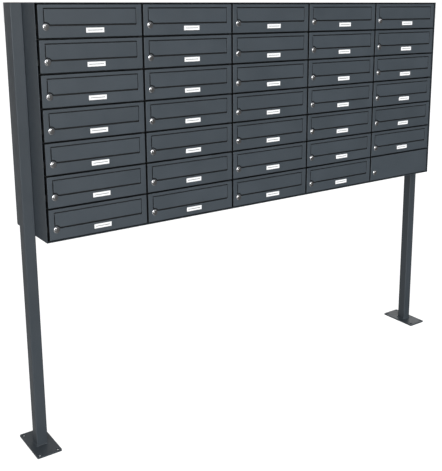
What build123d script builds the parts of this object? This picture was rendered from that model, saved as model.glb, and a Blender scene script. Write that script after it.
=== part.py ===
from build123d import *
import os

# Free-standing letterbox unit: a sheet-steel casing held between two square posts on
# base plates. Dividers and shelves make columns and rows of compartments. Each one has a
# door on vertical pins at its right edge, with a letter slot behind a hinged flap, a
# nameplate and a cam lock. The last compartment has a blank door with only a lock.
# Millimetres. X runs along the front, -Y faces the person, +Z is up. The origin is on
# the floor, under the middle of the overall box.

# Grid of compartments
columns = 5
rows = 7
box_width = 370
box_height = 110
column_seam = 7  # gap between doors side by side
row_seam = 6  # gap between doors above each other

# Casing
total_height = 1560
casing_depth = 280
casing_sheet = 2
side_gap = 5  # edge of the grid to the side panels
edge_gap = 1.5  # edge of the grid to the roof and floor panels
rear_flange = 20
rivet_radius = 2
rivet_head_radius = 4
rivet_head_height = 1
rivets_per_side = 5

# Inner sheets: door pans, flaps, shelves and dividers
sheet = 1.5
shelf_setback = 12  # front edges of the shelves, behind the door faces
divider_setback = 16  # clear of the doors' hinge edges as they swing

# Doors
door_depth = 15
hinge_from_edge = 6
hinge_depth = 8
pin_radius = 2
pin_reach = 1.5  # pin beyond the door's folded edge
ear_setback = 4.5
running_clearance = 0.05

# Letter slot, recess and flap, from the top left corner of a box
flap_left = 25
flap_top = 17
flap_width = 320
flap_height = 48
flap_inset = 0.5
groove = 3.5  # above the flap and at its left
right_groove = 1.5
lower_groove = 5
recess_depth = 8
slot_width = 310
slot_height = 33
roll_radius = 2.5
flap_pin_radius = 1.25

# Nameplate, its centre from the top left corner of a box
plate_x = 195
plate_drop = 84.5
plate_width = 66
plate_height = 17.5
plate_proud = 0.6
plate_rim = 3

# Cam lock, its centre from the top left corner of a box
lock_x = 28
lock_drop = 73
bezel_radius = 11
bezel_height = 3
bezel_fillet = 2.2
barrel_radius = 8
barrel_length = 20
lock_notch_radius = 12.5  # corner of the recess that goes round the lock
nut_radius = 13.5  # to the corners
nut_thickness = 3
plug_radius = 4.5
plug_recess = 0.6
key_slot_width = 1.4
key_slot_height = 6
key_slot_depth = 8
cam_gap = 0.5
cam_width = 12
cam_length = 24
cam_thickness = 2.5
cap_radius = 4.8
cap_thickness = 0.9
cap_gap = 0.1
cap_pivot_rise = 6.4
cap_lug_radius = 1.9
cap_rivet_radius = 0.8
cap_rivet_length = 2

# Lock keepers on the left wall of each compartment
keeper_depth = 17
keeper_thickness = 2
keeper_reach = 13
keeper_height = 18

# Posts and base plates
post_side = 40
post_setback = 122  # middle of the posts, behind the door faces
post_wall = 2
post_corner = 3
cap_height = 3
cap_plug_depth = 15
cap_plug_clearance = 0.2
cap_bevel = 1
base_width = 90
base_length = 180
base_thickness = 6
base_corner = 4
base_hole_radius = 6
base_hole_margin = 12
bolt_radius = 4
bolt_hole_radius = 4.5
bolt_head_radius = 7.5
bolt_head_height = 5
bolt_length = 14
bolt_rows = (0, 2, 4, 6)

# Worked out from the above
grid_width = columns * box_width
inner_half = grid_width / 2 + side_gap
outer_half = inner_half + casing_sheet
casing_top = total_height - casing_sheet
grid_top = casing_top - edge_gap
grid_bottom = grid_top - rows * box_height
casing_low = grid_bottom - edge_gap
casing_wall_height = casing_top - casing_low
lock_proud = bezel_height + cap_gap + cap_thickness
front_y = -(casing_depth + rivet_head_height - lock_proud) / 2
post_y = front_y + post_setback
post_x = outer_half + post_side / 2
inner_end = casing_depth - 2 * casing_sheet
door_width = box_width - column_seam
door_height = box_height - row_seam
hinge_x = box_width - column_seam / 2 - hinge_from_edge
recess_width = flap_width + groove + right_groove
recess_height = flap_height + groove + lower_groove
recess_middle = (
    flap_left - groove + recess_width / 2,
    -(flap_top - groove + recess_height / 2),
)
flap_middle = (flap_left + flap_width / 2, -(flap_top + flap_height / 2))
plate_middle = (plate_x, -plate_drop)
lock_middle = (lock_x, -lock_drop)
roll_drop = flap_top + roll_radius
roll_depth = flap_inset + roll_radius


def box_left(column):
    """X of the left edge of a column of boxes."""
    return -grid_width / 2 + column * box_width


def box_top(row):
    """Z of the top edge of a row of boxes."""
    return grid_top - row * box_height


def box_face(column, row):
    """Front plane of one box: origin at its top left corner, X right, Y up, Z outwards."""
    return Plane(
        origin=(box_left(column), front_y, box_top(row)),
        x_dir=(1, 0, 0),
        z_dir=(0, -1, 0),
    )


def left_wall(column):
    """X of the surface that bounds a column's compartments on the left."""
    return -inner_half if column == 0 else box_left(column) + sheet / 2


def right_wall(column):
    """X of the surface that bounds a column's compartments on the right."""
    return inner_half if column == columns - 1 else box_left(column + 1) - sheet / 2


# ---------------------------------------------------------------- posts and bases


def base_plates():
    with BuildPart() as plates:
        with BuildSketch():
            with Locations((-post_x, post_y), (post_x, post_y)):
                RectangleRounded(base_width, base_length, base_corner)
        extrude(amount=base_thickness)
        hole_x = base_width - 2 * base_hole_margin
        hole_y = base_length - 2 * base_hole_margin
        with BuildSketch():
            for middle in (-post_x, post_x):
                with Locations((middle, post_y)):
                    with GridLocations(hole_x, hole_y, 2, 2):
                        Circle(base_hole_radius)
        extrude(amount=base_thickness, mode=Mode.SUBTRACT)
    return plates.part


def post(side):
    """Square tube outside one side panel; side is -1 on the left and 1 on the right."""
    length = total_height - cap_height - base_thickness
    hollow = post_side - 2 * post_wall
    with BuildPart() as tube:
        with BuildSketch(Plane.XY.offset(base_thickness)):
            with Locations((side * post_x, post_y)):
                RectangleRounded(post_side, post_side, post_corner)
                RectangleRounded(
                    hollow, hollow, post_corner - post_wall, mode=Mode.SUBTRACT
                )
        extrude(amount=length)
        inner_face = Plane(
            origin=(side * outer_half, post_y, 0), x_dir=(0, side, 0), z_dir=(side, 0, 0)
        )
        with BuildSketch(inner_face):
            with Locations(*[(0, bolt_height(row)) for row in bolt_rows]):
                Circle(bolt_hole_radius)
        extrude(amount=post_wall, mode=Mode.SUBTRACT)
    return tube.part


def bolt_height(row):
    """Z of the bolt through the middle of a row's side wall."""
    return box_top(row) - box_height / 2


def post_caps():
    plug_side = post_side - 2 * post_wall - 2 * cap_plug_clearance
    with BuildPart() as caps:
        with BuildSketch(Plane.XY.offset(total_height - cap_height)):
            with Locations((-post_x, post_y), (post_x, post_y)):
                RectangleRounded(post_side, post_side, post_corner)
        extrude(amount=cap_height)
        chamfer(caps.faces().sort_by(Axis.Z)[-2:].edges(), cap_bevel)
        with BuildSketch(Plane.XY.offset(total_height - cap_height)):
            with Locations((-post_x, post_y), (post_x, post_y)):
                RectangleRounded(plug_side, plug_side, post_corner - post_wall)
        extrude(amount=-cap_plug_depth)
    return caps.part


def post_bolts():
    """Hexagon bolts from inside the end compartments into the posts."""
    with BuildPart() as bolts:
        for side in (-1, 1):
            wall = Plane(
                origin=(side * inner_half, post_y, 0), x_dir=(0, side, 0), z_dir=(side, 0, 0)
            )
            with BuildSketch(wall):
                with Locations(*[(0, bolt_height(row)) for row in bolt_rows]):
                    Circle(bolt_radius)
            extrude(amount=bolt_length)
            with BuildSketch(wall):
                with Locations(*[(0, bolt_height(row)) for row in bolt_rows]):
                    RegularPolygon(bolt_head_radius, 6)
            extrude(amount=-bolt_head_height)
    return bolts.part


# ---------------------------------------------------------------- casing


def side_panel(side):
    """Side sheet with a flange folded inwards along its rear edge."""
    middle_x = side * (inner_half + casing_sheet / 2)
    flange_x = side * (inner_half - rear_flange / 2)
    wall_depth = casing_depth - casing_sheet
    with BuildPart() as panel:
        with BuildSketch(Plane.XY.offset(casing_low)):
            with Locations((middle_x, front_y + wall_depth / 2)):
                Rectangle(casing_sheet, wall_depth)
            with Locations((flange_x, front_y + wall_depth - casing_sheet / 2)):
                Rectangle(rear_flange, casing_sheet)
        extrude(amount=casing_wall_height)
        inner_face = Plane(
            origin=(side * inner_half, post_y, 0), x_dir=(0, side, 0), z_dir=(side, 0, 0)
        )
        with BuildSketch(inner_face):
            with Locations(*[(0, bolt_height(row)) for row in bolt_rows]):
                Circle(bolt_hole_radius)
        extrude(amount=casing_sheet, mode=Mode.SUBTRACT)
        with BuildSketch(rear_face()):
            with Locations(*rivet_places(side)):
                Circle(rivet_radius + running_clearance)
        extrude(amount=-2 * casing_sheet, mode=Mode.SUBTRACT)
    return panel.part


def rear_face():
    """Outer plane of the back panel: X to the left seen from behind, Z away."""
    return Plane(
        origin=(0, front_y + casing_depth, 0), x_dir=(-1, 0, 0), z_dir=(0, 1, 0)
    )


def rivet_places(side):
    """Rivets of one side on the rear face, spread over the casing's height."""
    step = casing_wall_height / rivets_per_side
    across = -side * (inner_half - rear_flange / 2)
    return [(across, casing_low + (i + 0.5) * step) for i in range(rivets_per_side)]


def back_panel():
    with BuildPart() as panel:
        with BuildSketch(rear_face()):
            with Locations((0, casing_low + casing_wall_height / 2)):
                Rectangle(2 * outer_half, casing_wall_height)
            with Locations(*rivet_places(-1), *rivet_places(1)):
                Circle(rivet_radius + running_clearance, mode=Mode.SUBTRACT)
        extrude(amount=-casing_sheet)
    return panel.part


def casing_rivets():
    """Blind rivets that hold the back panel on the side panels' flanges."""
    with BuildPart() as rivets:
        with BuildSketch(rear_face()):
            with Locations(*rivet_places(-1), *rivet_places(1)):
                Circle(rivet_radius)
        extrude(amount=-2 * casing_sheet)
        with BuildSketch(rear_face()):
            with Locations(*rivet_places(-1), *rivet_places(1)):
                Circle(rivet_head_radius)
        extrude(amount=rivet_head_height)
    return rivets.part


def flat_panel(height):
    """Roof or floor sheet with its lower face at the given height."""
    with BuildPart() as panel:
        with BuildSketch(Plane.XY.offset(height)):
            with Locations((0, front_y + casing_depth / 2)):
                Rectangle(2 * outer_half, casing_depth)
        extrude(amount=casing_sheet)
    return panel.part


# ---------------------------------------------------------------- compartments


def dividers():
    """Upright sheets between the columns."""
    depth = inner_end - divider_setback
    middle_y = front_y + divider_setback + depth / 2
    with BuildPart() as walls:
        with BuildSketch(Plane.XY.offset(casing_low)):
            with Locations(*[(box_left(c), middle_y) for c in range(1, columns)]):
                Rectangle(sheet, depth)
        extrude(amount=casing_wall_height)
    return walls.part


def shelf_outline(column):
    """Shelf of one column, with an ear at its right front corner for the hinge pin."""
    left = left_wall(column)
    right = right_wall(column)
    depth = inner_end - shelf_setback
    pin_x = box_left(column) + hinge_x
    ear_depth = shelf_setback - ear_setback
    with Locations(((left + right) / 2, front_y + shelf_setback + depth / 2)):
        Rectangle(right - left, depth)
    with Locations((pin_x, front_y + ear_setback + ear_depth / 2)):
        Rectangle(2 * hinge_from_edge, ear_depth)
    with Locations((pin_x, front_y + hinge_depth)):
        Circle(pin_radius + running_clearance, mode=Mode.SUBTRACT)


def shelves():
    """Level sheets between the rows, and one above and one below the grid."""
    with BuildPart() as plates:
        for line in range(rows + 1):
            with BuildSketch(Plane.XY.offset(box_top(line) - sheet / 2)):
                for column in range(columns):
                    shelf_outline(column)
            extrude(amount=sheet)
    return plates.part


def hinge_pins():
    """A pin at every shelf's ear, reaching into the doors above and below it."""
    reach = row_seam / 2 + sheet + pin_reach
    with BuildPart() as pins:
        for line in range(rows + 1):
            above = sheet / 2 if line == 0 else reach
            below = sheet / 2 if line == rows else reach
            with BuildSketch(Plane.XY.offset(box_top(line) - below)):
                for column in range(columns):
                    with Locations((box_left(column) + hinge_x, front_y + hinge_depth)):
                        Circle(pin_radius)
            extrude(amount=above + below)
    return pins.part


def lock_keepers():
    """Lugs that the lock cams turn behind, on the left wall of each compartment."""
    with BuildPart() as keepers:
        with BuildSketch(Plane.XZ.offset(-(front_y + keeper_depth))):
            for column in range(columns):
                left = left_wall(column)
                right = box_left(column) + keeper_reach
                for row in range(rows):
                    with Locations(((left + right) / 2, box_top(row) - lock_drop)):
                        Rectangle(right - left, keeper_height)
        extrude(amount=-keeper_thickness)
    return keepers.part


# ---------------------------------------------------------------- doors


def recess_outline(grow):
    """Outline of the flap's recess, larger by grow all round."""
    with Locations(recess_middle):
        Rectangle(recess_width + 2 * grow, recess_height + 2 * grow)
    with Locations(lock_middle):
        Circle(lock_notch_radius - grow, mode=Mode.SUBTRACT)


def door_pan(face, blank):
    """Folded sheet door, open at the back; a blank one has no slot and no nameplate."""
    middle = (box_width / 2, -box_height / 2)
    pin_line = Plane(
        origin=face.origin + Vector(hinge_x, hinge_depth, -box_height),
        z_dir=(0, 0, 1),
    )
    with BuildPart() as pan:
        with BuildSketch(face):
            with Locations(middle):
                Rectangle(door_width, door_height)
        extrude(amount=-door_depth)
        with BuildSketch(face.offset(-sheet)):
            with Locations(middle):
                Rectangle(door_width - 2 * sheet, door_height - 2 * sheet)
        extrude(amount=-door_depth, mode=Mode.SUBTRACT)
        if not blank:
            letter_slot(face)
            with BuildSketch(face):
                with Locations(plate_middle):
                    Rectangle(plate_width, plate_height)
            extrude(amount=-sheet, mode=Mode.SUBTRACT)
        with BuildSketch(face):
            with Locations(lock_middle):
                Circle(barrel_radius + running_clearance)
        extrude(amount=-sheet, mode=Mode.SUBTRACT)
        with BuildSketch(pin_line):
            Circle(pin_radius + running_clearance)
        extrude(amount=box_height, mode=Mode.SUBTRACT)
    return pan.part


def letter_slot(face):
    """Recess for the flap in the door being built, with the slot through its floor."""
    pivot_line = flap_axis(face, flap_left - groove - sheet)
    with BuildSketch(face.offset(-sheet)) as tray:
        recess_outline(sheet)
    extrude(tray.sketch, amount=-recess_depth)
    with BuildSketch(face) as cavity:
        recess_outline(0)
    extrude(cavity.sketch, amount=-recess_depth, mode=Mode.SUBTRACT)
    with BuildSketch(face.offset(-recess_depth)) as slot:
        with Locations(flap_middle):
            Rectangle(slot_width, slot_height)
    extrude(slot.sketch, amount=-sheet, mode=Mode.SUBTRACT)
    with BuildSketch(pivot_line) as pivot:
        Circle(flap_pin_radius + running_clearance)
    extrude(pivot.sketch, amount=recess_width + 2 * sheet, mode=Mode.SUBTRACT)


def flap_axis(face, start):
    """Plane across the flap's pivot line, start being its distance from the box's left edge."""
    corner = Vector(start, roll_depth, -roll_drop)
    return Plane(origin=face.origin + corner, z_dir=(1, 0, 0))


def letter_flap(face):
    """Flap with a rolled top edge and a pivot stub at each end."""
    bite = 0.8 * sheet  # how far a stub reaches into the recess wall
    with BuildPart() as flap:
        with BuildSketch(face.offset(-flap_inset)):
            with Locations(flap_middle):
                Rectangle(flap_width, flap_height)
            with Locations(lock_middle):
                Circle(lock_notch_radius + groove, mode=Mode.SUBTRACT)
        extrude(amount=-sheet)
        with BuildSketch(flap_axis(face, flap_left)):
            Circle(roll_radius)
        extrude(amount=flap_width)
        with BuildSketch(flap_axis(face, flap_left - groove - bite)):
            Circle(flap_pin_radius)
        extrude(amount=recess_width + 2 * bite)
    return flap.part


def nameplate(face):
    """Nameplate in its window, with a rim behind the door's sheet."""
    with BuildPart() as plate:
        with BuildSketch(face.offset(plate_proud)):
            with Locations(plate_middle):
                Rectangle(plate_width, plate_height)
        extrude(amount=-(plate_proud + sheet))
        with BuildSketch(face.offset(-sheet)):
            with Locations(plate_middle):
                Rectangle(plate_width + 2 * plate_rim, plate_height + 2 * plate_rim)
        extrude(amount=-sheet)
    return plate.part


# ---------------------------------------------------------------- locks


def lock_cylinder(face, bored):
    """Lock housing: a rounded bezel on the door and a barrel through it."""
    with BuildPart() as cylinder:
        with BuildSketch(face):
            with Locations(lock_middle):
                Circle(bezel_radius)
        extrude(amount=bezel_height)
        fillet(cylinder.faces().sort_by(Axis.Y)[0].edges(), bezel_fillet)
        with BuildSketch(face):
            with Locations(lock_middle):
                Circle(barrel_radius)
        extrude(amount=-barrel_length)
        if bored:
            with BuildSketch(face.offset(bezel_height)):
                with Locations(lock_middle):
                    Circle(plug_radius + running_clearance)
            extrude(amount=-(bezel_height + barrel_length), mode=Mode.SUBTRACT)
            with BuildSketch(face.offset(bezel_height)):
                with Locations((lock_x, -lock_drop + cap_pivot_rise)):
                    Circle(cap_rivet_radius + running_clearance)
            extrude(amount=-(cap_rivet_length + cap_gap), mode=Mode.SUBTRACT)
    return cylinder.part


def lock_nut(face, seat):
    """Hexagon nut round the barrel, clamping the lock against a surface seat behind the face."""
    with BuildPart() as nut:
        with BuildSketch(face.offset(-seat)):
            with Locations(lock_middle):
                RegularPolygon(nut_radius, 6)
                Circle(barrel_radius, mode=Mode.SUBTRACT)
        extrude(amount=-nut_thickness)
    return nut.part


def lock_plug(face):
    """Plug that the key turns, with its key slot."""
    front = face.offset(bezel_height - plug_recess)
    with BuildPart() as plug:
        with BuildSketch(front):
            with Locations(lock_middle):
                Circle(plug_radius)
        extrude(amount=-(bezel_height - plug_recess + barrel_length + cam_gap))
        with BuildSketch(front):
            with Locations(lock_middle):
                Rectangle(key_slot_width, key_slot_height)
        extrude(amount=-key_slot_depth, mode=Mode.SUBTRACT)
    return plug.part


def lock_cam(face, gap):
    """Cam behind the barrel's end by gap, pointing down when the lock is open."""
    tip = cam_length - cam_width / 2
    with BuildPart() as cam:
        with BuildSketch(face.offset(-(barrel_length + gap))):
            with Locations(lock_middle, (lock_x, -lock_drop - tip)):
                Circle(cam_width / 2)
            with Locations((lock_x, -lock_drop - tip / 2)):
                Rectangle(cam_width, tip)
        extrude(amount=-cam_thickness)
    return cam.part


def lock_dust_cap(face):
    """Cover of the key slot, hanging from a small rivet above it."""
    back = face.offset(bezel_height + cap_gap)
    pivot = (lock_x, -lock_drop + cap_pivot_rise)
    with BuildPart() as cap:
        with BuildSketch(back):
            with Locations(lock_middle):
                Circle(cap_radius)
            with Locations(pivot):
                Circle(cap_lug_radius)
        extrude(amount=cap_thickness)
        with BuildSketch(back):
            with Locations(pivot):
                Circle(cap_rivet_radius)
        extrude(amount=-cap_rivet_length)
    return cap.part


def door_group(column, row):
    """Solids that swing as one door."""
    face = box_face(column, row)
    blank = column == columns - 1 and row == rows - 1
    working_lock = column == 0 and row == 0
    nut_seat = sheet if blank else recess_depth + sheet
    solids = [door_pan(face, blank), lock_cylinder(face, bored=working_lock), lock_nut(face, nut_seat)]
    if not working_lock:
        solids.append(lock_cam(face, 0))
    if not blank:
        solids.append(nameplate(face))
    if column > 0 and not blank:
        solids.append(letter_flap(face))
    return Compound(children=solids)


# ---------------------------------------------------------------- writing


def write(shape, name):
    shape.label = name
    export_step(shape, f"parts/{name}.step")


os.makedirs("parts", exist_ok=True)
write(base_plates(), "base_plates")
write(post(-1), "post_left")
write(post(1), "post_right")
write(post_caps(), "post_caps")
write(post_bolts(), "post_bolts")
write(side_panel(-1), "side_panel_left")
write(side_panel(1), "side_panel_right")
write(back_panel(), "back_panel")
write(casing_rivets(), "casing_rivets")
write(flat_panel(casing_top), "roof_panel")
write(flat_panel(casing_low - casing_sheet), "floor_panel")
write(dividers(), "dividers")
write(shelves(), "shelves")
write(hinge_pins(), "hinge_pins")
write(lock_keepers(), "lock_keepers")
for column in range(columns):
    for row in range(rows):
        blank = column == columns - 1 and row == rows - 1
        kind = "blank_door" if blank else "door"
        write(door_group(column, row), f"{kind}_c{column + 1}_r{row + 1}")
for row in range(rows):
    write(letter_flap(box_face(0, row)), f"flap_c1_r{row + 1}")
write(lock_plug(box_face(0, 0)), "lock_plug_c1_r1")
write(lock_cam(box_face(0, 0), cam_gap), "lock_cam_c1_r1")
write(lock_dust_cap(box_face(0, 0)), "lock_dust_cap_c1_r1")
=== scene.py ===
import bmesh
import bpy
import math
import random
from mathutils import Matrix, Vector


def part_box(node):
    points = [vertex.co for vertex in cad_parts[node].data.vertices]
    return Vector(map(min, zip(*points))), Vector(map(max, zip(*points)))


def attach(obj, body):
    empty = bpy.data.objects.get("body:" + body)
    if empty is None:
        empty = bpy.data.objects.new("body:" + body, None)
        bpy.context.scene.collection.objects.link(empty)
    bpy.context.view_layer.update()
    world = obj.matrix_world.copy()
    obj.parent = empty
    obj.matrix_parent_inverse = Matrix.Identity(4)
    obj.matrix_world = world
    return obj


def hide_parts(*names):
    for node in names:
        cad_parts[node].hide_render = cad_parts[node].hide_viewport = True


# Finished looks of a free-standing letterbox unit: powder-coated casing and doors,
# recessed letter flaps, cam locks, nameplates, posts and base plates. Metres, in the
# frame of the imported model: -Y is the front, +Z is up.

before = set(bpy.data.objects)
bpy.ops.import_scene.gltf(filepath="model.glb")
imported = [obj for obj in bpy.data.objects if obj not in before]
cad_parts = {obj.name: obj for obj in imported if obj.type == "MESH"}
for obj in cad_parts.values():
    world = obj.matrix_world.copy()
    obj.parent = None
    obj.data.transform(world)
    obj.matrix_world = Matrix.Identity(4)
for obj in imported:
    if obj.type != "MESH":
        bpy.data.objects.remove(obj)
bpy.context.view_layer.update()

COLUMNS = 5
ROWS = 7
MM = 0.001

# Door sheet. Places on a door are (x, z) from the top left corner of its face, and depths
# are counted back from that face, so that what stands proud of it is negative.
SHEET = 1.5 * MM
DOOR_DEPTH = 15 * MM
FOLD_RADIUS = 1.6 * MM
CORNER_RADIUS = 1.2 * MM
PRESS_RADIUS = 1.0 * MM
MIN_RADIUS = 0.05 * MM
HOLE_CLEARANCE = 0.05 * MM

# Letter flap, the recess that it lies in, and the slot in the recess
FLAP_LEFT = 21.5 * MM
FLAP_TOP = 14 * MM
FLAP_SIZE = (320 * MM, 48 * MM)
FLAP_INSET = 0.5 * MM
FLAP_FOLD = 2.6 * MM
FLAP_SHEET = 1.0 * MM
FLAP_RADIUS = 1.5 * MM
FLAP_PIN_RADIUS = 1.2 * MM
ROLL_RADIUS = 2.5 * MM
ROLL_CLEARANCE = 0.2 * MM
GROOVE = 3.5 * MM
RIGHT_GROOVE = 1.5 * MM
LOWER_GROOVE = 5 * MM
RECESS_DEPTH = 8 * MM
RECESS_RADIUS = 2.5 * MM
SLOT_CENTRE = (FLAP_LEFT + FLAP_SIZE[0] / 2, -FLAP_TOP - FLAP_SIZE[1] / 2)
SLOT_SIZE = (310 * MM, 33 * MM)
SLOT_RADIUS = 3 * MM

# Nameplate: a card in a dark surround, held from behind, with a printed rule
PLATE_CENTRE = (191.5 * MM, -81.5 * MM)
PLATE_SIZE = (66 * MM, 17.5 * MM)
PLATE_RADIUS = 0.8 * MM
PLATE_PROUD = 0.6 * MM
SURROUND_PROUD = 0.25 * MM
CARD_MARGIN = 0.9 * MM
HOLDER_BORDER = 2.8 * MM
CARD_BACK = 0.2 * MM
CARD_EDGE = 0.25 * MM
RULE_SIZE = (52 * MM, 1.8 * MM)
RULE_RADIUS = 0.2 * MM
RULE_FRONT = -PLATE_PROUD - 0.02 * MM
RULE_BACK = -PLATE_PROUD + 0.05 * MM
RULE_EDGE = 0.01 * MM

# Lock: housing with its domed bezel, plug with a key slot, dust cap, nut and cam. DOME_RIM is
# the share of the bezel's height that stands upright at its rim, and the lug of the dust cap
# leaves its disc LUG_SPREAD degrees from the top.
LOCK_CENTRE = (24.5 * MM, -70 * MM)
LOCK_NOTCH = 12.5 * MM
BEZEL_RADIUS = 11 * MM
BEZEL_FLAT = 8.4 * MM
BEZEL_HEIGHT = 3.0 * MM
DOME_RIM = 0.12
BARREL_RADIUS = 8 * MM
BARREL_LENGTH = 20 * MM
BARREL_CHAMFER = 0.5 * MM
BORE_CLEARANCE = 0.15 * MM
BORE_CHAMFER = 0.3 * MM
SOCKET_FLOOR = -1.2 * MM
PLUG_RADIUS = 4.5 * MM
PLUG_FACE = -2.4 * MM
PLUG_CHAMFER = (0.4 * MM, 0.3 * MM)
PLUG_OVERHANG = 0.5 * MM
# The key slot is painted shade: a thin black slab on the plug's face, which stays solid behind it
KEY_SLOT_SIZE = (1.4 * MM, 6 * MM)
KEY_SLOT_RADIUS = 0.5 * MM
KEY_SLOT_EDGE = 0.05 * MM
KEY_SLOT_FRONT = PLUG_FACE - 0.02 * MM
KEY_SLOT_BACK = PLUG_FACE + 0.2 * MM
CAP_RADIUS = 4.8 * MM
CAP_RISE = 6.4 * MM
CAP_FRONT = -3.7 * MM
CAP_BACK = -BEZEL_HEIGHT - 0.1 * MM
CAP_RIVET_RADIUS = 1.1 * MM
CAP_RIVET_HEIGHT = 0.3 * MM
LUG_RADIUS = 1.9 * MM
LUG_SPREAD = 52
LUG_ARC = (15, 165)
NUT_RADIUS = 13.5 * MM
NUT_THICKNESS = 3 * MM
CAM_WIDTH = 12 * MM
CAM_LENGTH = 24 * MM
CAM_THICKNESS = 2.5 * MM

# Rounding of the edges of small flat pieces: plated ones, and thin ones
SMALL_EDGE = 0.3 * MM
FINE_EDGE = 0.2 * MM

# Casing panels, and the weld beads at the posts' feet: the root is in shares of the bead's
# size, and the ripple turns by so many radians per millimetre along the bead.
PANEL_EDGE = 0.5 * MM
PANEL_EDGE_ANGLE = math.radians(50)
POST_CORNER = 3 * MM
WELD_BEAD = 2.4 * MM
WELD_ROOT = (-0.15, -0.15)
WELD_RIPPLE = 0.09
WELD_RIPPLE_TURN = 2.4

# Fineness of the meshes, in steps per quarter, dome, full circle or arc
ARC_STEPS = 5
DOME_STEPS = 8
CIRCLE_STEPS = 48
PIVOT_STEPS = 24
RIVET_STEPS = 20
RIVET_DOME_STEPS = 6
CAP_STEPS = 36
LUG_STEPS = 12
ROUND_END_STEPS = 16
MERGE_DISTANCE = 1e-7
SHARP_ANGLE = math.radians(40)

# Colours. SEAM_SHADE_TONE is the coat's share in the painted shade where seams and grooves lie in
# shade:
# on a door, what lies deeper than SHADE_FROM_DEPTH and isn't turned to the back, and inside, the
# front edges of the parts behind the doors, fading out over SHADE_FADE.
COAT_DARK = (0.040, 0.0505, 0.0605)
COAT_LIGHT = (0.0475, 0.0595, 0.0715)
ZINC_LIGHT = (0.56, 0.57, 0.58)
SEAM_SHADE_TONE = 0.08
SHADE_FROM_DEPTH = 1 * MM
TURNED_BACK = 0.3
SHADE_FADE_START = DOOR_DEPTH + 3 * MM
SHADE_FADE = 15 * MM
GRAIN_DEPTH = 0.0001
COAT_GRAIN_DEPTH = 0.0002


# ---------------------------------------------------------------- materials


def new_material(name):
    """New material with its node tree and its Principled shader."""
    material = bpy.data.materials.new(name)
    material.use_nodes = True
    tree = material.node_tree
    return material, tree, tree.nodes["Principled BSDF"]


def add(tree, kind, **values):
    """Adds a node; keyword names are attributes, or inputs when they name a socket."""
    node = tree.nodes.new(kind)
    for key, value in values.items():
        socket_name = key.replace("_", " ")
        if socket_name in node.inputs:
            node.inputs[socket_name].default_value = value
        else:
            setattr(node, key, value)
    return node


def object_place(tree):
    """Texture coordinates fixed to the piece, shifted by the piece's own seed."""
    place = add(tree, "ShaderNodeTexCoord")
    seed = add(tree, "ShaderNodeAttribute", attribute_type="OBJECT", attribute_name="seed")
    shift = add(tree, "ShaderNodeVectorMath", operation="ADD")
    tree.links.new(place.outputs["Object"], shift.inputs[0])
    tree.links.new(seed.outputs["Vector"], shift.inputs[1])
    return shift.outputs[0]


def noise(tree, place, scale, detail=3.0, roughness=0.5):
    node = add(tree, "ShaderNodeTexNoise", Scale=scale, Detail=detail, Roughness=roughness)
    tree.links.new(place, node.inputs["Vector"])
    return node.outputs["Fac"]


def spread(tree, source, low, high):
    """Maps a 0.3-0.7 noise value to the range low-high."""
    node = add(tree, "ShaderNodeMapRange")
    node.inputs["From Min"].default_value = 0.3
    node.inputs["From Max"].default_value = 0.7
    node.inputs["To Min"].default_value = low
    node.inputs["To Max"].default_value = high
    tree.links.new(source, node.inputs["Value"])
    return node.outputs["Result"]


def colour_between(tree, factor, first, second):
    node = add(tree, "ShaderNodeMix", data_type="RGBA")
    node.inputs["A"].default_value = (*first, 1)
    node.inputs["B"].default_value = (*second, 1)
    tree.links.new(factor, node.inputs["Factor"])
    return node.outputs["Result"]


def bump(tree, shader, height, strength, distance):
    node = add(tree, "ShaderNodeBump", Strength=strength, Distance=distance)
    tree.links.new(height, node.inputs["Height"])
    tree.links.new(node.outputs["Normal"], shader.inputs["Normal"])


def drifting_material(name, dark, light, tone_scale, roughness, gloss_scale):
    """Material whose colour drifts from dark to light, and its roughness between two values.

    Returns it with its node tree, its shader and its texture coordinates.
    """
    material, tree, shader = new_material(name)
    place = object_place(tree)
    tone = spread(tree, noise(tree, place, tone_scale), 0.0, 1.0)
    tree.links.new(colour_between(tree, tone, dark, light), shader.inputs["Base Color"])
    gloss = spread(tree, noise(tree, place, gloss_scale), *roughness)
    tree.links.new(gloss, shader.inputs["Roughness"])
    return material, tree, shader, place


def grained_material(name, dark, light, tone_scale, roughness, gloss_scale, grain, **sockets):
    """Drifting material with a grain, given as scale and strength, and fixed shader values."""
    material, tree, shader, place = drifting_material(
        name, dark, light, tone_scale, roughness, gloss_scale
    )
    bump(tree, shader, noise(tree, place, grain[0]), grain[1], GRAIN_DEPTH)
    for key, value in sockets.items():
        shader.inputs[key.replace("_", " ")].default_value = value
    return material


def powder_coat(name, depth, roughness, shade_before=None):
    """Fine-textured satin powder coat: grainy surface, cloudy gloss, faint tone drift.

    In front of the Y given as shade_before, the coat goes over into painted shade, the dark tone of
    its front edges in the seams.
    """
    dark = tuple(depth * c for c in COAT_DARK)
    light = tuple(depth * c for c in COAT_LIGHT)
    material, tree, shader, place = drifting_material(
        name, dark, light, tone_scale=5.0, roughness=(roughness - 0.05, roughness + 0.06),
        gloss_scale=22.0,
    )
    grain = noise(tree, place, 1500.0, detail=2.0, roughness=0.6)
    bump(tree, shader, grain, 0.35, COAT_GRAIN_DEPTH)
    if shade_before is not None:
        paint_front_shade(tree, shader, shade_before)
    return material


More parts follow.
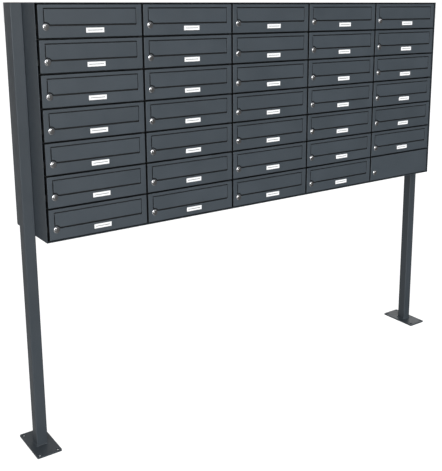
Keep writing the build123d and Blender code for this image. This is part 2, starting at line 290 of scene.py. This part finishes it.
def paint_front_shade(tree, shader, front):
    """Painted shade in front of the Y given as front, fading out behind it."""
    colour = shader.inputs["Base Color"].links[0].from_socket
    parts = add(tree, "ShaderNodeSeparateXYZ")
    tree.links.new(add(tree, "ShaderNodeTexCoord").outputs["Object"], parts.inputs[0])
    inwards = add(tree, "ShaderNodeMapRange")
    inwards.inputs["From Min"].default_value = front
    inwards.inputs["From Max"].default_value = front + SHADE_FADE
    tree.links.new(parts.outputs["Y"], inwards.inputs["Value"])
    edge = add(tree, "ShaderNodeMix", data_type="RGBA")
    edge.inputs["A"].default_value = (*(SEAM_SHADE_TONE * c for c in COAT_DARK), 1)
    tree.links.new(colour, edge.inputs["B"])
    tree.links.new(inwards.outputs["Result"], edge.inputs["Factor"])
    tree.links.new(edge.outputs["Result"], shader.inputs["Base Color"])


first_low, first_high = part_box("door_c1_r1")
DOOR_SIZE = (first_high.x - first_low.x, first_high.z - first_low.z)
DOOR_FACE_Y = first_low.y + BEZEL_HEIGHT

coat = powder_coat("anthracite_coat", 1.0, 0.46)
casing_coat = powder_coat("casing_coat", 0.92, 0.44)
post_coat = powder_coat("post_coat", 0.8, 0.46)
# Parts behind the doors: a darker copy of the coat, with painted shade on their front edges where
# the seams lie in shade
inner_coat = powder_coat("inner_coat", 0.8, 0.52, DOOR_FACE_Y + SHADE_FADE_START)
# Painted shade for the doors' folds, sides and recess walls: the coat at a small share of its tone
seam_shade_coat = powder_coat("seam_shade_coat", SEAM_SHADE_TONE, 0.6)

# Zinc-plated steel: bright, slightly cloudy, with a fine grain
zinc = grained_material(
    "zinc_plated", tuple(0.8 * c for c in ZINC_LIGHT), ZINC_LIGHT, tone_scale=160.0,
    roughness=(0.28, 0.42), gloss_scale=420.0, grain=(2600.0, 0.12), Metallic=1.0,
)
# Polished nickel-chrome with faint handling marks
chrome = grained_material(
    "lock_chrome", (0.66, 0.66, 0.67), (0.80, 0.80, 0.81), tone_scale=300.0,
    roughness=(0.10, 0.20), gloss_scale=700.0, grain=(1200.0, 0.05), Metallic=1.0,
)
# Matt black moulded plastic with a fine spark-eroded grain; on the lock's plug it is also the
# painted shade of the key slot's keyway
black = grained_material(
    "dark_plastic_and_keyway_shade", (0.008, 0.009, 0.010), (0.014, 0.015, 0.016), tone_scale=90.0,
    roughness=(0.5, 0.62), gloss_scale=200.0, grain=(2200.0, 0.3),
)
# White card under a clear cover: paper fibre tone and a glossy coat
card = grained_material(
    "name_card", (0.83, 0.84, 0.86), (0.90, 0.91, 0.92), tone_scale=900.0,
    roughness=(0.32, 0.42), gloss_scale=300.0, grain=(800.0, 0.04),
    Coat_Weight=0.5, Coat_Roughness=0.08,
)
# Dark grey printing ink, slightly uneven and without a grain of its own
rule = drifting_material(
    "printed_rule", (0.05, 0.053, 0.057), (0.10, 0.104, 0.11), tone_scale=1400.0,
    roughness=(0.4, 0.5), gloss_scale=500.0,
)[0]


# ---------------------------------------------------------------- outlines


def arc(centre, radius, start, end, steps):
    """Points on an arc from start to end, in degrees, ends included."""
    turn = math.radians(end - start) / steps
    first = math.radians(start)
    x, z = centre
    return [
        (x + radius * math.cos(first + i * turn), z + radius * math.sin(first + i * turn))
        for i in range(steps + 1)
    ]


def circle(centre, radius):
    return arc(centre, radius, 0, 360 - 360 / CIRCLE_STEPS, CIRCLE_STEPS - 1)


def rounded_corners(left, bottom, right, top, radius):
    """Corner arcs of a rectangle, from the lower right one round to the lower left."""
    radius = max(radius, MIN_RADIUS)
    centres = [
        (right - radius, bottom + radius),
        (right - radius, top - radius),
        (left + radius, top - radius),
        (left + radius, bottom + radius),
    ]
    return [
        arc(centre, radius, 90 * i - 90, 90 * i, ARC_STEPS) for i, centre in enumerate(centres)
    ]


def rounded_rectangle(left, bottom, right, top, radius):
    return sum(rounded_corners(left, bottom, right, top, radius), [])


def centred_rectangle(centre, size, grow, radius):
    """Rounded rectangle about its centre, made larger by grow on every side."""
    x, z = centre
    half_x, half_z = size[0] / 2 + grow, size[1] / 2 + grow
    return rounded_rectangle(x - half_x, z - half_z, x + half_x, z + half_z, radius)


def notched_rectangle(left, bottom, right, top, radius, notch):
    """Rounded rectangle whose lower left corner goes round the lock at radius notch."""
    lock_x, lock_z = LOCK_CENTRE
    points = sum(rounded_corners(left, bottom, right, top, radius)[:3], [])
    side_turn = math.degrees(math.acos(max(-1.0, (left - lock_x) / notch)))
    floor_turn = math.degrees(math.asin(min(1.0, max(-1.0, (bottom - lock_z) / notch))))
    return points + arc(LOCK_CENTRE, notch, side_turn, floor_turn, 3 * ARC_STEPS)


def door_outline(grow):
    width, height = DOOR_SIZE
    return rounded_rectangle(-grow, -height - grow, width + grow, grow, CORNER_RADIUS + grow)


def recess_outline(grow):
    left = FLAP_LEFT - GROOVE - grow
    right = FLAP_LEFT + FLAP_SIZE[0] + RIGHT_GROOVE + grow
    top = -FLAP_TOP + GROOVE + grow
    bottom = -FLAP_TOP - FLAP_SIZE[1] - LOWER_GROOVE - grow
    return notched_rectangle(left, bottom, right, top, RECESS_RADIUS + grow, LOCK_NOTCH - grow)


def flap_outline(inset):
    left = FLAP_LEFT + inset
    right = FLAP_LEFT + FLAP_SIZE[0] - inset
    top = -FLAP_TOP - inset
    bottom = -FLAP_TOP - FLAP_SIZE[1] + inset
    notch = LOCK_NOTCH + GROOVE + inset
    return notched_rectangle(left, bottom, right, top, FLAP_RADIUS - inset, notch)


def plate_outline(grow):
    return centred_rectangle(PLATE_CENTRE, PLATE_SIZE, grow, PLATE_RADIUS + grow)


def rule_outline(inset):
    return centred_rectangle(PLATE_CENTRE, RULE_SIZE, -inset, RULE_RADIUS)


def key_slot_outline(inset):
    return centred_rectangle(LOCK_CENTRE, KEY_SLOT_SIZE, -inset, KEY_SLOT_RADIUS - inset)


def cap_outline(inset):
    """Dust cap: a disc with a lug above it for its rivet."""
    x, z = LOCK_CENTRE
    points = arc((x, z), CAP_RADIUS - inset, 90 + LUG_SPREAD, 450 - LUG_SPREAD, CAP_STEPS)
    return points + arc((x, z + CAP_RISE), LUG_RADIUS - inset, *LUG_ARC, LUG_STEPS)


def cam_outline(inset):
    """Cam hanging from the lock: straight sides with round ends."""
    x, z = LOCK_CENTRE
    half = CAM_WIDTH / 2 - inset
    points = arc((x, z), half, 0, 180, ROUND_END_STEPS)
    return points + arc((x, z - CAM_LENGTH + CAM_WIDTH / 2), half, 180, 360, ROUND_END_STEPS)


def nut_outline(inset):
    """Hexagon, as six points on a circle."""
    return arc(LOCK_CENTRE, NUT_RADIUS - inset, 0, 300, 5)


def quarter_round(radius):
    """Steps round a quarter-circle edge, as (distance in from the side, depth) pairs."""
    turns = [math.pi / 2 * i / ARC_STEPS for i in range(ARC_STEPS + 1)]
    return [(radius * (1 - math.sin(turn)), radius * (1 - math.cos(turn))) for turn in turns]


# ---------------------------------------------------------------- meshes


def loop(mesh, points, depth):
    """Ring of vertices at a depth behind the door's face."""
    return [mesh.verts.new((x, depth, z)) for x, z in points]


def chain(mesh, rings):
    """Quads between each two neighbouring rings, which have the same number of points."""
    for first, second in zip(rings, rings[1:]):
        count = len(first)
        for i in range(count):
            after = (i + 1) % count
            mesh.faces.new((first[i], first[after], second[after], second[i]))


def ring_edges(mesh, ring):
    """The edges of a ring, made where they don't exist yet."""
    pairs = zip(ring, ring[1:] + ring[:1])
    return [mesh.edges.get(pair) or mesh.edges.new(pair) for pair in pairs]


def fill(mesh, *rings):
    """Flat face between an outer ring and any holes in it."""
    edges = [edge for ring in rings for edge in ring_edges(mesh, ring)]
    bmesh.ops.triangle_fill(mesh, use_beauty=True, use_dissolve=False, edges=edges)


def mesh_data(mesh, name):
    """Mesh data made from a bmesh, which is used up."""
    data = bpy.data.meshes.new(name)
    mesh.to_mesh(data)
    mesh.free()
    return data


def shade(data):
    """Smooth faces that meet in sharp edges where they turn steeply."""
    for polygon in data.polygons:
        polygon.use_smooth = True
    data.set_sharp_from_angle(angle=SHARP_ANGLE)
    return data


def finish_mesh(mesh, name):
    """Turns a closed bmesh into mesh data with faces outwards and smooth folds."""
    bmesh.ops.remove_doubles(mesh, verts=mesh.verts, dist=MERGE_DISTANCE)
    bmesh.ops.recalc_face_normals(mesh, faces=mesh.faces)
    return shade(mesh_data(mesh, name))


def new_object(name, data):
    """New object, linked into the scene."""
    made = bpy.data.objects.new(name, data)
    bpy.context.scene.collection.objects.link(made)
    return made


def applied(data, name, kind, **settings):
    """New mesh data: the given mesh with one modifier applied."""
    helper = new_object(name + "_helper", data)
    modifier = helper.modifiers.new(kind, kind)
    for key, value in settings.items():
        setattr(modifier, key, value)
    graph = bpy.context.evaluated_depsgraph_get()
    result = bpy.data.meshes.new_from_object(helper.evaluated_get(graph))
    result.name = name
    bpy.data.objects.remove(helper)
    return result


def thicken(mesh, thickness, name):
    """Mesh data of an open shell given its sheet thickness on the inner side."""
    face_front(mesh)
    shell = mesh_data(mesh, name + "_shell")
    return shade(
        applied(shell, name, "SOLIDIFY", thickness=thickness, offset=-1, use_even_offset=True)
    )


def level_normals(data):
    """Keeps the shading of large flat faces level right up to their rounded edges."""
    return applied(data, data.name, "WEIGHTED_NORMAL", weight=100, keep_sharp=True)


def face_front(mesh):
    """Turns a shell's faces so that the flat front looks towards -Y."""

    def frontmost_then_largest(face):
        return round(face.calc_center_median().y, 5), -face.calc_area()

    bmesh.ops.recalc_face_normals(mesh, faces=mesh.faces)
    front = min(mesh.faces, key=frontmost_then_largest)
    front.normal_update()
    if front.normal.y > 0:
        bmesh.ops.reverse_faces(mesh, faces=mesh.faces)


def lathe(profile, centre, name, steps=CIRCLE_STEPS):
    """Solid of revolution about a line along Y; profile is (radius, depth) pairs."""
    x, z = centre
    turns = [2 * math.pi * i / steps for i in range(steps)]
    mesh = bmesh.new()
    chain(mesh, [
        loop(mesh, [(x + radius * math.cos(a), z + radius * math.sin(a)) for a in turns], depth)
        for radius, depth in profile
    ])
    return finish_mesh(mesh, name)


def slab(outline, front, back, edge, name):
    """Flat piece with rounded front and back edges; outline(inset) gives its shape."""
    mesh = bmesh.new()
    rings = [loop(mesh, outline(inset), front + depth) for inset, depth in quarter_round(edge)]
    rings += [loop(mesh, outline(inset), back - depth) for depth, inset in quarter_round(edge)]
    chain(mesh, rings)
    fill(mesh, rings[0])
    fill(mesh, rings[-1])
    return finish_mesh(mesh, name)


def join(parts, name):
    """One mesh from several, keeping each part's material."""
    whole = bmesh.new()
    for index, (part, _) in enumerate(parts):
        before = len(whole.faces)
        whole.from_mesh(part)
        whole.faces.ensure_lookup_table()
        for face in whole.faces[before:]:
            face.material_index = index
    data = mesh_data(whole, name)
    for _, material in parts:
        data.materials.append(material)
    data.set_sharp_from_angle(angle=SHARP_ANGLE)
    return data


def with_material(data, material):
    data.materials.clear()
    data.materials.append(material)
    return data


# ---------------------------------------------------------------- doors and flaps


def door_shell(blank):
    """One door: folded edges, pressed recess with its slot, nameplate and lock holes."""
    mesh = bmesh.new()
    rings = [
        loop(mesh, door_outline(-inset), depth) for inset, depth in quarter_round(FOLD_RADIUS)
    ]
    rings.append(loop(mesh, door_outline(0), DOOR_DEPTH))
    chain(mesh, rings)
    borders = [rings[0], loop(mesh, circle(LOCK_CENTRE, BARREL_RADIUS + HOLE_CLEARANCE), 0)]
    if not blank:
        borders.append(loop(mesh, plate_outline(HOLE_CLEARANCE), 0))
        borders.append(pressed_recess(mesh))
    fill(mesh, *borders)
    return thicken(mesh, SHEET, "blank_door" if blank else "slotted_door")


def pressed_recess(mesh):
    """Recess with rounded upper and lower edges; returns its ring on the door's face."""
    bend = quarter_round(PRESS_RADIUS)
    rings = [loop(mesh, recess_outline(grow), depth) for grow, depth in bend]
    rings += [loop(mesh, recess_outline(-shrink), RECESS_DEPTH - rise) for rise, shrink in bend]
    chain(mesh, rings)
    slot = centred_rectangle(SLOT_CENTRE, SLOT_SIZE, 0, SLOT_RADIUS)
    fill(mesh, rings[-1], loop(mesh, slot, RECESS_DEPTH))
    return rings[0]


def coat_sheet(data):
    """Full coat on the faces, and painted shade in the folds, the door's sides and the recess,
    where seams and grooves lie in shade.
    """
    with_material(data, coat)
    data.materials.append(seam_shade_coat)
    for polygon in data.polygons:
        if polygon.center.y > SHADE_FROM_DEPTH and polygon.normal.y < TURNED_BACK:
            polygon.material_index = 1
    return data


def flap_pan():
    """Flap: a shallow folded pan."""
    mesh = bmesh.new()
    rings = [
        loop(mesh, flap_outline(inset), FLAP_INSET + depth)
        for inset, depth in quarter_round(PRESS_RADIUS)
    ]
    rings.append(loop(mesh, flap_outline(0), FLAP_INSET + FLAP_FOLD))
    chain(mesh, rings)
    fill(mesh, rings[0])
    return thicken(mesh, FLAP_SHEET, "flap_pan")


def flap_pivot():
    """Roll along the flap's top edge with a pin at each end."""
    roll = ROLL_RADIUS - ROLL_CLEARANCE
    pin = FLAP_PIN_RADIUS
    chamfer, shoulder, rounding = 0.3 * MM, 1.2 * MM, 0.4 * MM
    stub = 0.8 * SHEET
    left, right = FLAP_LEFT, FLAP_LEFT + FLAP_SIZE[0]
    left_end, right_end = left - GROOVE - stub, right + RIGHT_GROOVE + stub
    profile = [
        (left_end, 0),
        (left_end, pin - chamfer),
        (left_end + chamfer, pin),
        (left + shoulder, pin),
        (left + shoulder, roll - rounding),
        (left + shoulder + rounding, roll),
        (right - shoulder - rounding, roll),
        (right - shoulder, roll - rounding),
        (right - shoulder, pin),
        (right_end - chamfer, pin),
        (right_end, pin - chamfer),
        (right_end, 0),
    ]
    y, z = FLAP_INSET + ROLL_RADIUS, -FLAP_TOP - ROLL_RADIUS
    turns = [2 * math.pi * i / PIVOT_STEPS for i in range(PIVOT_STEPS)]
    mesh = bmesh.new()
    chain(mesh, [
        [mesh.verts.new((x, y + radius * math.cos(a), z + radius * math.sin(a))) for a in turns]
        for x, radius in profile
    ])
    return finish_mesh(mesh, "flap_pivot")


slotted_door = level_normals(coat_sheet(door_shell(False)))
blank_door = level_normals(coat_sheet(door_shell(True)))
flap_mesh = level_normals(join([(flap_pan(), coat), (flap_pivot(), coat)], "letter_flap"))


# ---------------------------------------------------------------- locks and nameplates


def bezel_profile(bored):
    """Profile of the lock housing, from the middle of its front to its rear end."""
    bore = PLUG_RADIUS + BORE_CLEARANCE
    start = [(bore, BARREL_LENGTH)] if bored else [(0, SOCKET_FLOOR), (bore, SOCKET_FLOOR)]
    rim = [(bore, BORE_CHAMFER - BEZEL_HEIGHT), (bore + BORE_CHAMFER, -BEZEL_HEIGHT)]
    dome = []
    for i in range(DOME_STEPS + 1):
        turn = math.radians(90 * i / DOME_STEPS)
        radius = BEZEL_FLAT + (BEZEL_RADIUS - BEZEL_FLAT) * math.sin(turn)
        depth = -BEZEL_HEIGHT * (DOME_RIM + (1 - DOME_RIM) * math.cos(turn))
        dome.append((radius, depth))
    rear = [
        (BEZEL_RADIUS, 0),
        (BARREL_RADIUS, 0),
        (BARREL_RADIUS, BARREL_LENGTH - BARREL_CHAMFER),
        (BARREL_RADIUS - BARREL_CHAMFER, BARREL_LENGTH),
        (bore if bored else 0, BARREL_LENGTH),
    ]
    return start + rim + dome + rear


def plug_profile(end):
    """Profile of the plug from its face to its end, with the face's edge taken off."""
    inwards, back = PLUG_CHAMFER
    return [
        (0, PLUG_FACE),
        (PLUG_RADIUS - inwards, PLUG_FACE),
        (PLUG_RADIUS, PLUG_FACE + back),
        (PLUG_RADIUS, end),
        (0, end),
    ]


def rivet_head(name, centre, radius, face, height):
    """Small domed rivet head in front of the depth given as face."""
    profile = [(0, face - height)]
    for i in range(1, RIVET_DOME_STEPS + 1):
        turn = math.radians(90 * i / RIVET_DOME_STEPS)
        profile.append((radius * math.sin(turn), face - height * math.cos(turn)))
    profile.append((0, face))
    return lathe(profile, centre, name, steps=RIVET_STEPS)


def lock_meshes():
    """Meshes of the fixed lock, the working lock's housing, its plug and its dust cap."""
    plug = lathe(plug_profile(0), LOCK_CENTRE, "plug_face")
    long_plug = lathe(plug_profile(BARREL_LENGTH + PLUG_OVERHANG), LOCK_CENTRE, "lock_plug")
    # Painted shade of the keyway: a black slab on the plug's face
    keyway_shade = slab(key_slot_outline, KEY_SLOT_FRONT, KEY_SLOT_BACK, KEY_SLOT_EDGE, "key_slot")
    cap = slab(cap_outline, CAP_FRONT, CAP_BACK, FINE_EDGE, "cap_disc")
    lug_centre = (LOCK_CENTRE[0], LOCK_CENTRE[1] + CAP_RISE)
    cap_rivet = rivet_head(
        "cap_rivet", lug_centre, CAP_RIVET_RADIUS, CAP_FRONT, CAP_RIVET_HEIGHT
    )
    housing = lathe(bezel_profile(False), LOCK_CENTRE, "lock_housing")
    bored = lathe(bezel_profile(True), LOCK_CENTRE, "bored_housing")
    fixed = join(
        [(housing, chrome), (plug, chrome), (keyway_shade, black), (cap, chrome), (cap_rivet, chrome)],
        "closed_lock",
    )
    working = join([(bored, chrome)], "working_lock")
    turning = join([(long_plug, chrome), (keyway_shade, black)], "turning_plug")
    swinging = join([(cap, chrome), (cap_rivet, chrome)], "dust_cap")
    return fixed, working, turning, swinging


def zinc_slab(outline, front, thickness, name):
    """Plated flat piece with its front at a depth behind the door's face."""
    return with_material(slab(outline, front, front + thickness, SMALL_EDGE, name), zinc)


def nameplate_parts():
    """Card, its dark surround in the window, the holder behind it and a printed rule."""
    surround = slab(
        lambda inset: plate_outline(-inset), -SURROUND_PROUD, SHEET, FINE_EDGE, "plate_surround"
    )
    holder = slab(
        lambda inset: plate_outline(HOLDER_BORDER - inset), SHEET, 2 * SHEET, SMALL_EDGE,
        "plate_holder",
    )
    front = slab(
        lambda inset: plate_outline(-CARD_MARGIN - inset), -PLATE_PROUD, CARD_BACK, CARD_EDGE,
        "plate_card",
    )
    line = slab(rule_outline, RULE_FRONT, RULE_BACK, RULE_EDGE, "plate_rule")
    return [(front, card), (surround, black), (holder, black), (line, rule)]


fixed_lock, working_lock, turning_plug, dust_cap = lock_meshes()
fixed_cam = zinc_slab(cam_outline, BARREL_LENGTH, CAM_THICKNESS, "lock_cam")
turning_cam = zinc_slab(cam_outline, BARREL_LENGTH + PLUG_OVERHANG, CAM_THICKNESS, "lock_cam")
recess_nut = zinc_slab(nut_outline, RECESS_DEPTH + SHEET, NUT_THICKNESS, "recess_nut")
sheet_nut = zinc_slab(nut_outline, SHEET, NUT_THICKNESS, "sheet_nut")
nameplate_mesh = level_normals(join(nameplate_parts(), "nameplate"))


# ---------------------------------------------------------------- pieces on the doors


def give_seed(piece, name):
    """Own shift of the textures, the same in every run."""
    shift = random.Random(name)
    piece["seed"] = [shift.uniform(-9, 9) for _ in range(3)]


def place(data, name, at, body, slot, node=None):
    """Piece with shared mesh data at a place, riding on its body; node is the one it replaces."""
    piece = new_object(name, data)
    piece.location = at
    give_seed(piece, name)
    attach(piece, body)
    if node:
        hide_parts(node)


def door_name(column, row):
    last = column == COLUMNS and row == ROWS
    return f"{'blank_door' if last else 'door'}_c{column}_r{row}"


for column in range(1, COLUMNS + 1):
    for row in range(1, ROWS + 1):
        door = door_name(column, row)
        tag = f"c{column}_r{row}"
        low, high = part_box(door)
        at = (low.x, low.y + BEZEL_HEIGHT, high.z)
        blank = door.startswith("blank")
        working = column == 1 and row == 1
        sheet = blank_door if blank else slotted_door
        nut = sheet_nut if blank else recess_nut
        lock = working_lock if working else fixed_lock
        place(sheet, f"door_sheet_{tag}", at, door, "anthracite_coat", door)
        place(lock, f"lock_{tag}", at, door, "lock_chrome")
        place(nut, f"lock_nut_{tag}", at, door, "zinc_plated_steel")
        if working:
            plug, cam, cap = f"lock_plug_{tag}", f"lock_cam_{tag}", f"lock_dust_cap_{tag}"
            place(turning_plug, plug, at, plug, "lock_chrome", plug)
            place(turning_cam, cam, at, plug, "zinc_plated_steel", cam)
            place(dust_cap, cap, at, cap, "lock_chrome", cap)
        else:
            place(fixed_cam, f"lock_cam_{tag}", at, door, "zinc_plated_steel")
        if not blank:
            flap = f"flap_{tag}" if column == 1 else None
            place(nameplate_mesh, f"nameplate_{tag}", at, door, "nameplate_white")
            place(flap_mesh, f"letter_flap_{tag}", at, flap or door, "anthracite_coat", flap)


# ---------------------------------------------------------------- CAD nodes that stay


def finish_node(name, material, edge=0.0):
    """New material on a CAD node and, if edge is given, edges rounded by that much."""
    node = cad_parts[name]
    give_seed(node, name)
    if not node.material_slots:
        node.data.materials.append(None)
    for material_slot in node.material_slots:
        material_slot.link = "OBJECT"
        material_slot.material = material
    if edge:
        weld = node.modifiers.new("weld", "WELD")
        weld.merge_threshold = 1e-6
        bevel = node.modifiers.new("edge", "BEVEL")
        bevel.width = edge
        bevel.segments = 2
        bevel.limit_method = "ANGLE"
        bevel.angle_limit = PANEL_EDGE_ANGLE
        bevel.harden_normals = True


for name in ("side_panel_left", "side_panel_right", "roof_panel", "floor_panel", "back_panel"):
    finish_node(name, casing_coat, PANEL_EDGE)
for name in ("post_left", "post_right", "base_plates"):
    finish_node(name, post_coat)
# Parts behind the doors, with painted shade on their front edges where they show in the seams
for name in ("dividers", "shelves", "hinge_pins", "lock_keepers"):
    finish_node(name, inner_coat)
for name in ("post_bolts", "casing_rivets"):
    finish_node(name, zinc)
finish_node("post_caps", black)


def foot_weld(post):
    """Rippled weld bead where a post stands on its base plate."""
    low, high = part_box(post)
    plate_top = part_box("base_plates")[1].z
    core = rounded_rectangle(low.x, low.y, high.x, high.y, POST_CORNER)
    path = []
    for (x, y), (next_x, next_y) in zip(core, core[1:] + core[:1]):
        steps = max(1, round(math.hypot(next_x - x, next_y - y) / MM))
        path += [
            (x + (next_x - x) * i / steps, y + (next_y - y) * i / steps) for i in range(steps)
        ]
    middle_x, middle_y = (low.x + high.x) / 2, (low.y + high.y) / 2
    half = (high.x - low.x) / 2
    mesh = bmesh.new()
    rings = []
    for grow, rise in [WELD_ROOT] + arc((0, 0), 1, 0, 90, ARC_STEPS):
        ring = []
        for i, (x, y) in enumerate(path):
            size = WELD_BEAD * (1 + WELD_RIPPLE * math.sin(i * WELD_RIPPLE_TURN))
            scale = 1 + grow * size / half
            out_x = middle_x + (x - middle_x) * scale
            out_y = middle_y + (y - middle_y) * scale
            ring.append(mesh.verts.new((out_x, out_y, plate_top + rise * size)))
        rings.append(ring)
    chain(mesh, rings + rings[:1])
    name = f"foot_weld_{post}"
    bead = with_material(finish_mesh(mesh, name), post_coat)
    place(bead, name, (0, 0, 0), "casing", "anthracite_coat")


foot_weld("post_left")
foot_weld("post_right")


# ---------------------------------------------------------------- studio


def pale_floor():
    """White floor for the camera only, so that the world alone lights the object from below."""
    mesh = bmesh.new()
    bmesh.ops.create_grid(mesh, x_segments=2, y_segments=2, size=60)
    data = mesh_data(mesh, "floor")
    material, _, shader = new_material("pale_floor")
    shader.inputs["Base Color"].default_value = (0.3, 0.3, 0.3, 1)
    shader.inputs["Roughness"].default_value = 1.0
    shader.inputs["Specular IOR Level"].default_value = 0.0
    shader.inputs["Emission Color"].default_value = (1, 1, 1, 1)
    shader.inputs["Emission Strength"].default_value = 0.9
    data.materials.append(material)
    floor = new_object("studio_floor", data)
    floor.visible_diffuse = False
    floor.visible_glossy = False


def soft_sun(name, towards, power, spread_degrees):
    """Even light from one side, as from a large softbox far away."""
    lamp = bpy.data.lights.new(name, "SUN")
    lamp.energy = power
    lamp.angle = math.radians(spread_degrees)
    light = new_object(name, lamp)
    light.rotation_euler = Vector(towards).to_track_quat("-Z", "Y").to_euler()


def studio_world():
    """White to the camera; as a light, pale all round and dimmer from above.

    The lock domes mirror a softbox at the upper left and a dark patch low at the right.
    """
    world = bpy.data.worlds.new("studio")
    bpy.context.scene.world = world
    world.use_nodes = True
    tree = world.node_tree
    lit = tree.nodes["Background"]
    lit.inputs["Color"].default_value = (1, 1, 1, 1)
    behind = add(tree, "ShaderNodeBackground", Color=(1, 1, 1, 1), Strength=1.0)
    way = add(tree, "ShaderNodeTexCoord")

    def towards(direction, start, end, low, high):
        """Smooth step from low to high as the angle to a direction closes."""
        aim = add(tree, "ShaderNodeVectorMath", operation="DOT_PRODUCT")
        aim.inputs[1].default_value = Vector(direction).normalized()
        level = add(tree, "ShaderNodeMapRange", interpolation_type="SMOOTHSTEP")
        level.inputs["From Min"].default_value = start
        level.inputs["From Max"].default_value = end
        level.inputs["To Min"].default_value = low
        level.inputs["To Max"].default_value = high
        tree.links.new(way.outputs["Generated"], aim.inputs[0])
        tree.links.new(aim.outputs["Value"], level.inputs["Value"])
        return level.outputs["Result"]

    def combine(operation, first, second):
        node = add(tree, "ShaderNodeMath", operation=operation)
        tree.links.new(first, node.inputs[0])
        tree.links.new(second, node.inputs[1])
        return node.outputs["Value"]

    pale = towards((0, 0, 1), -0.2, 1.0, 0.44, 0.22)
    patch = towards((0.75, -0.6, -0.25), 0.55, 0.95, 1.0, 0.2)
    softbox = towards((-0.42, -0.65, 0.63), 0.8, 0.94, 0.0, 2.2)
    strength = combine("ADD", combine("MULTIPLY", pale, patch), softbox)
    path = add(tree, "ShaderNodeLightPath")
    mix = add(tree, "ShaderNodeMixShader")
    tree.links.new(strength, lit.inputs["Strength"])
    tree.links.new(path.outputs["Is Camera Ray"], mix.inputs["Fac"])
    tree.links.new(lit.outputs["Background"], mix.inputs[1])
    tree.links.new(behind.outputs["Background"], mix.inputs[2])
    tree.links.new(mix.outputs["Shader"], tree.nodes["World Output"].inputs["Surface"])


def studio():
    """Studio light and floor, with the colours shown as they are."""
    studio_world()
    pale_floor()
    soft_sun("key", (0.22, 0.95, -0.18), 2.2, 30)
    soft_sun("fill", (-0.8, -0.6, -0.15), 1.0, 60)
    scene = bpy.context.scene
    scene.view_settings.view_transform = "Standard"
    scene.view_settings.look = "None"


def camera():
    """Camera at eye height in front of the left end, looking along the front."""
    eye = (-1.813, -2.456, 1.557)
    yaw, pitch = math.radians(36.0), math.radians(12.0)
    lens = bpy.data.cameras.new("camera")
    lens.sensor_width = 36
    lens.lens = 58.1
    lens.shift_x = -0.05
    lens.shift_y = -0.15
    lens.clip_end = 200
    view = new_object("camera", lens)
    view.location = eye
    view.rotation_euler = (math.pi / 2 - pitch, 0, -yaw)
    bpy.context.scene.camera = view


studio()
camera()
